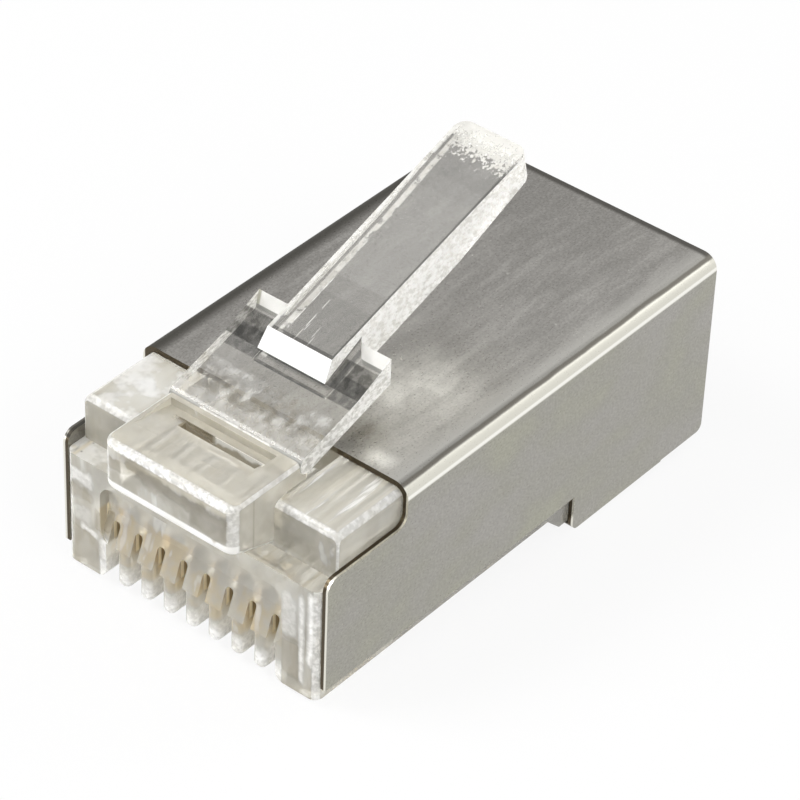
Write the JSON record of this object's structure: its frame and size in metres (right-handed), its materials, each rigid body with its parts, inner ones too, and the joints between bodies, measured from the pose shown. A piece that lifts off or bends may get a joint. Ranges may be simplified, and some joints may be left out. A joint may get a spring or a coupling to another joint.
{
  "type": "modular plug",
  "caption": "Shielded modular plug for a network cable: clear housing with a comb of gold contacts, a sprung latch lever and a folded metal shield, before crimping.",
  "frame": {"origin": "centre of the overall box in X and Y, at the plane of the shield's folded flaps (the underside of the rear part)", "axes": "+X across the contacts, -Y towards the end that enters the jack, +Z towards the latch"},
  "size_m": [0.0118, 0.0224, 0.0132],
  "materials": {
    "clear_polycarbonate": "clear moulded plastic with a faint warm tint",
    "nickel_plated_sheet": "satin nickel plating with a faint rolled grain",
    "gold_plated_contact": "bright gold plating"
  },
  "bodies": {
    "plug": {"housing": "clear_polycarbonate", "shield": "nickel_plated_sheet", "contact_1": "gold_plated_contact", "contact_2": "gold_plated_contact", "contact_3": "gold_plated_contact", "contact_4": "gold_plated_contact", "contact_5": "gold_plated_contact", "contact_6": "gold_plated_contact", "contact_7": "gold_plated_contact", "contact_8": "gold_plated_contact"},
    "latch": {"latch_lever": "clear_polycarbonate"},
    "relief_bar": {"strain_relief_bar": "clear_polycarbonate"}
  },
  "joints": [
    {"name": "latch_hinge", "type": "hinge", "parent": "plug", "child": "latch", "pos_m": [0, -0.00755, 0.00816], "axis": [-1, 0, 0], "range_deg": [0, 13], "stiffness_Nm_per_rad": 0.12},
    {"name": "relief_bar_hinge", "type": "hinge", "parent": "plug", "child": "relief_bar", "pos_m": [0, -0.00095, 0.00184], "axis": [1, 0, 0], "range_deg": [0, 25]}
  ]
}
